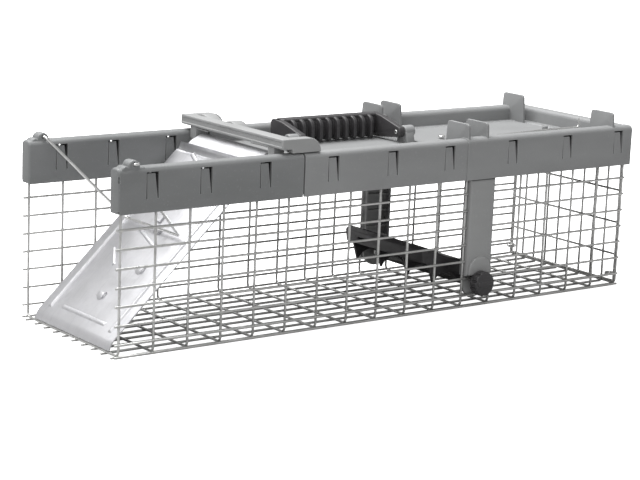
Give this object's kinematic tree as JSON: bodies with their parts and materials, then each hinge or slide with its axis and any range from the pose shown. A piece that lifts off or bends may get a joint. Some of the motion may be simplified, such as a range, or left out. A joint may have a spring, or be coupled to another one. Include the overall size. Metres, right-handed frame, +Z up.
{
  "type": "live catch trap",
  "caption": "Welded wire box trap with a sloping sheet door, wire lock bail, moulded top frame, treadle and folding handle.",
  "frame": {"origin": "middle of the cage's footprint, on the surface it stands on", "axes": "+X along the cage to its closed rear end, the door is at -X, +Z up"},
  "size_m": [0.4398, 0.142, 0.1326],
  "materials": {
    "galvanized_wire": "bright zinc, slightly dulled",
    "galvanized_sheet": "bright zinc sheet with soft spangle",
    "grey_plastic": "moulded, fine satin texture",
    "light_plastic": "moulded, satin",
    "dark_plastic": "moulded, satin charcoal",
    "bright_steel": "bright plated wire"
  },
  "bodies": {
    "frame": {"floor_mesh": "galvanized_wire", "rear_mesh": "galvanized_wire", "side_mesh_near": "galvanized_wire", "side_mesh_far": "galvanized_wire", "front_rail_near": "grey_plastic", "front_rail_far": "grey_plastic", "middle_cover": "grey_plastic", "rear_cover": "grey_plastic", "door_yoke": "light_plastic", "column_near": "light_plastic", "column_far": "light_plastic", "door_hinge_pin": "bright_steel", "tray_screws": "bright_steel", "panel_clip_near": "bright_steel", "panel_clip_far": "bright_steel", "handle_pin_front": "bright_steel", "handle_pin_rear": "bright_steel"},
    "door": {"door_panel": "galvanized_sheet"},
    "bail": {"lock_bail": "bright_steel"},
    "handle": {"carry_handle": "dark_plastic"},
    "treadle": {"treadle_pan": "dark_plastic", "treadle_axle": "dark_plastic", "treadle_crank": "bright_steel", "knob_near": "dark_plastic", "knob_far": "dark_plastic"},
    "link": {"link_rod": "bright_steel"},
    "latch": {"latch_lever": "bright_steel"}
  },
  "joints": [
    {"name": "door_swing", "type": "hinge", "parent": "frame", "child": "door", "pos_m": [-0.092, 0, 0.1172], "axis": [0, 1, 0], "range_deg": [0, 43.5]},
    {"name": "bail_swing", "type": "hinge", "parent": "frame", "child": "bail", "pos_m": [-0.2085, 0, 0.1232], "axis": [0, 1, 0], "range_deg": [-157, 0]},
    {"name": "handle_fold", "type": "hinge", "parent": "frame", "child": "handle", "pos_m": [0, 0.001, 0.1182], "axis": [1, 0, 0], "range_deg": [0, 90]},
    {"name": "treadle_tip", "type": "hinge", "parent": "frame", "child": "treadle", "pos_m": [0.0755, 0, 0.0187], "axis": [0, 1, 0], "range_deg": [-12, 0], "stiffness_Nm_per_rad": 0.04, "springref_deg": 40.11},
    {"name": "link_lift", "type": "slide", "parent": "frame", "child": "link", "axis": [0, 0, 1], "range_m": [0, 0.0026]},
    {"name": "latch_tilt", "type": "hinge", "parent": "frame", "child": "latch", "pos_m": [0.05, 0, 0.101], "axis": [0, 1, 0], "range_deg": [-3.9, 0]}
  ],
  "couplings": [
    {"joint": "bail_swing", "follows": "door_swing", "ratio": -3.6},
    {"joint": "link_lift", "follows": "treadle_tip", "m_per_rad": -0.012},
    {"joint": "latch_tilt", "follows": "treadle_tip", "ratio": 0.3202}
  ]
}
